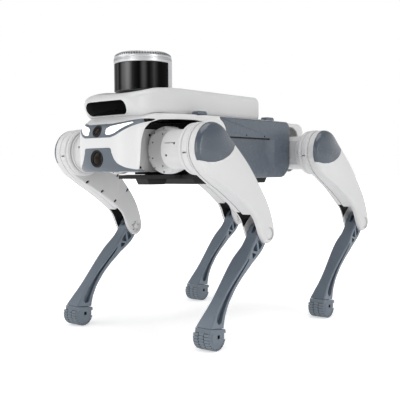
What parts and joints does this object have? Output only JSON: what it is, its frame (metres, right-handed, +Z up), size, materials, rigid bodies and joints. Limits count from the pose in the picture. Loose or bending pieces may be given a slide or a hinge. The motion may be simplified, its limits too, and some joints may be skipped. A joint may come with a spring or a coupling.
{
  "type": "quadruped robot dog",
  "caption": "Four-legged walking robot with a rounded shell body, lidar and sensor module on its back, and jointed legs with rod-driven knees and rubber feet.",
  "frame": {"origin": "on the floor plane under the middle of the robot's bounding box, standing on its four feet", "axes": "+X forward towards the head, +Y to the robot's left, +Z up"},
  "size_m": [0.5996, 0.37, 0.4945],
  "materials": {
    "white": "satin",
    "grey": "satin",
    "shank_grey": "satin",
    "foot_rubber": "matte",
    "black": "matte",
    "gloss_black": "gloss",
    "lens": "gloss",
    "silver": "satin",
    "light": "gloss",
    "steel": "satin"
  },
  "bodies": {
    "torso": {"top_shell": "white", "face_mask": "grey", "face_band": "grey", "light_left": "light", "light_right": "light", "camera_upper": "lens", "camera_lower": "lens", "side_panel_left": "grey", "side_panel_right": "grey", "chassis": "black", "belly_plate": "black", "battery_pack": "black", "module_shell": "white", "module_window": "gloss_black", "lidar_housing": "silver", "lidar_window": "gloss_black", "payload_rail_left": "grey", "payload_rail_right": "grey", "roll_motor_fl": "black", "roll_motor_fr": "black", "roll_motor_rl": "black", "roll_motor_rr": "black"},
    "lidar_head": {"lidar_rotor": "black"},
    "hip_fl": {"hip_housing_fl": "white"},
    "thigh_fl": {"thigh_inner_fl": "white", "thigh_outer_fl": "white", "hip_cap_fl": "grey", "knee_axle_fl": "steel"},
    "crank_fl": {"knee_crank_fl": "steel"},
    "rod_fl": {"knee_rod_fl": "steel"},
    "shin_fl": {"shank_fl": "shank_grey", "foot_fl": "foot_rubber"},
    "hip_fr": {"hip_housing_fr": "white"},
    "thigh_fr": {"thigh_inner_fr": "white", "thigh_outer_fr": "white", "hip_cap_fr": "grey", "knee_axle_fr": "steel"},
    "crank_fr": {"knee_crank_fr": "steel"},
    "rod_fr": {"knee_rod_fr": "steel"},
    "shin_fr": {"shank_fr": "shank_grey", "foot_fr": "foot_rubber"},
    "hip_rl": {"hip_housing_rl": "white"},
    "thigh_rl": {"thigh_inner_rl": "white", "thigh_outer_rl": "white", "hip_cap_rl": "grey", "knee_axle_rl": "steel"},
    "crank_rl": {"knee_crank_rl": "steel"},
    "rod_rl": {"knee_rod_rl": "steel"},
    "shin_rl": {"shank_rl": "shank_grey", "foot_rl": "foot_rubber"},
    "hip_rr": {"hip_housing_rr": "white"},
    "thigh_rr": {"thigh_inner_rr": "white", "thigh_outer_rr": "white", "hip_cap_rr": "grey", "knee_axle_rr": "steel"},
    "crank_rr": {"knee_crank_rr": "steel"},
    "rod_rr": {"knee_rod_rr": "steel"},
    "shin_rr": {"shank_rr": "shank_grey", "foot_rr": "foot_rubber"}
  },
  "joints": [
    {"name": "lidar_spin", "type": "hinge", "parent": "torso", "child": "lidar_head", "pos_m": [0.1883, 0, 0.46], "axis": [0, 0, 1], "continuous": true},
    {"name": "hip_roll_fl", "type": "hinge", "parent": "torso", "child": "hip_fl", "pos_m": [0.2053, 0.062, 0.325], "axis": [1, 0, 0], "range_deg": [-30, 30]},
    {"name": "hip_pitch_fl", "type": "hinge", "parent": "hip_fl", "child": "thigh_fl", "pos_m": [0.2053, 0.161, 0.325], "axis": [0, -1, 0], "range_deg": [-79, 61.6]},
    {"name": "knee_fl", "type": "hinge", "parent": "thigh_fl", "child": "shin_fl", "pos_m": [0.0673, 0.161, 0.18], "axis": [0, -1, 0], "range_deg": [-54.7, 65]},
    {"name": "crank_turn_fl", "type": "hinge", "parent": "thigh_fl", "child": "crank_fl", "pos_m": [0.2053, 0.161, 0.325], "axis": [0, -1, 0], "range_deg": [-55, 65.3]},
    {"name": "rod_pivot_fl", "type": "hinge", "parent": "crank_fl", "child": "rod_fl", "pos_m": [0.194, 0.161, 0.3415], "axis": [0, -1, 0], "range_deg": [-65.3, 55]},
    {"name": "hip_roll_fr", "type": "hinge", "parent": "torso", "child": "hip_fr", "pos_m": [0.2053, -0.062, 0.325], "axis": [-1, 0, 0], "range_deg": [-30, 30]},
    {"name": "hip_pitch_fr", "type": "hinge", "parent": "hip_fr", "child": "thigh_fr", "pos_m": [0.2053, -0.161, 0.325], "axis": [0, -1, 0], "range_deg": [-79, 61.6]},
    {"name": "knee_fr", "type": "hinge", "parent": "thigh_fr", "child": "shin_fr", "pos_m": [0.0673, -0.161, 0.18], "axis": [0, -1, 0], "range_deg": [-54.7, 65]},
    {"name": "crank_turn_fr", "type": "hinge", "parent": "thigh_fr", "child": "crank_fr", "pos_m": [0.2053, -0.161, 0.325], "axis": [0, -1, 0], "range_deg": [-55, 65.3]},
    {"name": "rod_pivot_fr", "type": "hinge", "parent": "crank_fr", "child": "rod_fr", "pos_m": [0.194, -0.161, 0.3415], "axis": [0, -1, 0], "range_deg": [-65.3, 55]},
    {"name": "hip_roll_rl", "type": "hinge", "parent": "torso", "child": "hip_rl", "pos_m": [-0.1437, 0.062, 0.325], "axis": [1, 0, 0], "range_deg": [-30, 30]},
    {"name": "hip_pitch_rl", "type": "hinge", "parent": "hip_rl", "child": "thigh_rl", "pos_m": [-0.1437, 0.161, 0.325], "axis": [0, -1, 0], "range_deg": [-79, 44]},
    {"name": "knee_rl", "type": "hinge", "parent": "thigh_rl", "child": "shin_rl", "pos_m": [-0.2817, 0.161, 0.18], "axis": [0, -1, 0], "range_deg": [-54.7, 65]},
    {"name": "crank_turn_rl", "type": "hinge", "parent": "thigh_rl", "child": "crank_rl", "pos_m": [-0.1437, 0.161, 0.325], "axis": [0, -1, 0], "range_deg": [-55, 65.3]},
    {"name": "rod_pivot_rl", "type": "hinge", "parent": "crank_rl", "child": "rod_rl", "pos_m": [-0.155, 0.161, 0.3415], "axis": [0, -1, 0], "range_deg": [-65.3, 55]},
    {"name": "hip_roll_rr", "type": "hinge", "parent": "torso", "child": "hip_rr", "pos_m": [-0.1437, -0.062, 0.325], "axis": [-1, 0, 0], "range_deg": [-30, 30]},
    {"name": "hip_pitch_rr", "type": "hinge", "parent": "hip_rr", "child": "thigh_rr", "pos_m": [-0.1437, -0.161, 0.325], "axis": [0, -1, 0], "range_deg": [-79, 44]},
    {"name": "knee_rr", "type": "hinge", "parent": "thigh_rr", "child": "shin_rr", "pos_m": [-0.2817, -0.161, 0.18], "axis": [0, -1, 0], "range_deg": [-54.7, 65]},
    {"name": "crank_turn_rr", "type": "hinge", "parent": "thigh_rr", "child": "crank_rr", "pos_m": [-0.1437, -0.161, 0.325], "axis": [0, -1, 0], "range_deg": [-55, 65.3]},
    {"name": "rod_pivot_rr", "type": "hinge", "parent": "crank_rr", "child": "rod_rr", "pos_m": [-0.155, -0.161, 0.3415], "axis": [0, -1, 0], "range_deg": [-65.3, 55]}
  ],
  "couplings": [
    {"joint": "crank_turn_fl", "follows": "knee_fl", "ratio": 1},
    {"joint": "rod_pivot_fl", "follows": "knee_fl", "ratio": -1},
    {"joint": "crank_turn_fr", "follows": "knee_fr", "ratio": 1},
    {"joint": "rod_pivot_fr", "follows": "knee_fr", "ratio": -1},
    {"joint": "crank_turn_rl", "follows": "knee_rl", "ratio": 1},
    {"joint": "rod_pivot_rl", "follows": "knee_rl", "ratio": -1},
    {"joint": "crank_turn_rr", "follows": "knee_rr", "ratio": 1},
    {"joint": "rod_pivot_rr", "follows": "knee_rr", "ratio": -1}
  ]
}
